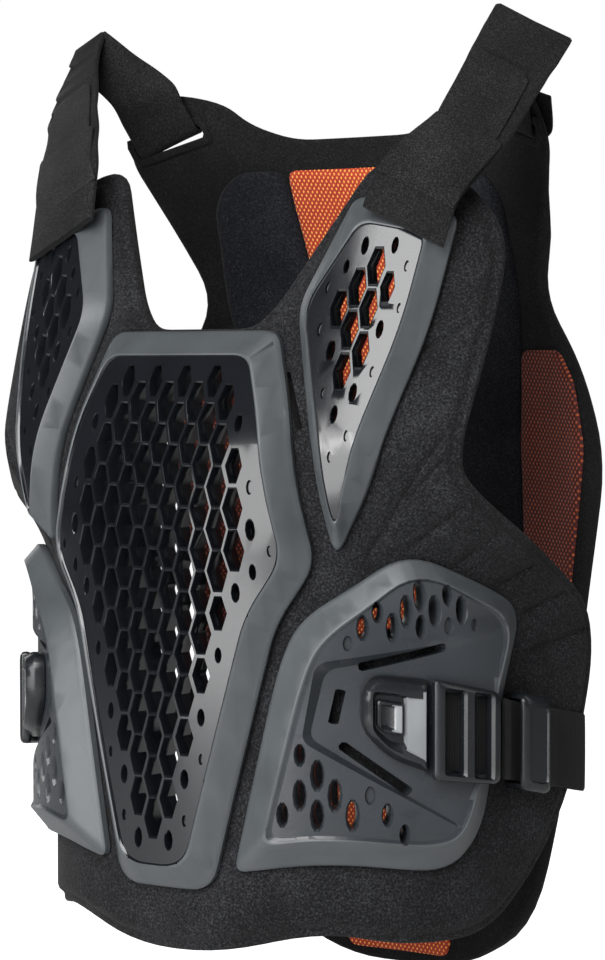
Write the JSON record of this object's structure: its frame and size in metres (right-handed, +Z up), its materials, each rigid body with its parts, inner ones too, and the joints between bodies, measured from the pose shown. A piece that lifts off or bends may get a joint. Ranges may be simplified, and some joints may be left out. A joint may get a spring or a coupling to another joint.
{
  "type": "roost deflector",
  "caption": "Sleeveless chest and back protector: padded carriers, pierced moulded chest plates, side buckles with webbing, shoulder straps and a mesh-lined back.",
  "frame": {"origin": "centre of the shoulder seat, midway between the folds of the two shoulder straps, at the height where they rest on the shoulders", "axes": "+Z up along the rider, -Y the way the rider faces, +X the rider's left"},
  "size_m": [0.3424, 0.2526, 0.5248],
  "materials": {
    "foam": "dark speckled cloth over foam",
    "plate": "satin dark grey moulded plastic",
    "buckle": "dark moulded plastic",
    "webbing": "black woven webbing",
    "mesh": "orange-red spacer mesh"
  },
  "bodies": {
    "root": {"front_panel": "foam", "chest_plate": "plate", "upper_plate_left": "plate", "upper_plate_right": "plate", "lower_plate_left": "plate", "lower_plate_right": "plate", "buckle_anchor_left": "buckle", "buckle_anchor_right": "buckle", "ladder_buckle_left": "buckle", "ladder_buckle_right": "buckle", "strap_keeper_left": "buckle", "strap_keeper_right": "buckle", "side_strap_left": "webbing", "side_strap_right": "webbing", "shoulder_strap_left": "webbing", "shoulder_strap_right": "webbing", "strap_patch_left": "webbing", "strap_patch_right": "webbing", "back_panel": "foam", "back_pad_left": "foam", "back_pad_right": "foam", "back_mesh_centre": "mesh", "back_mesh_left": "mesh", "back_mesh_right": "mesh", "back_plate": "plate"}
  },
  "joints": []
}
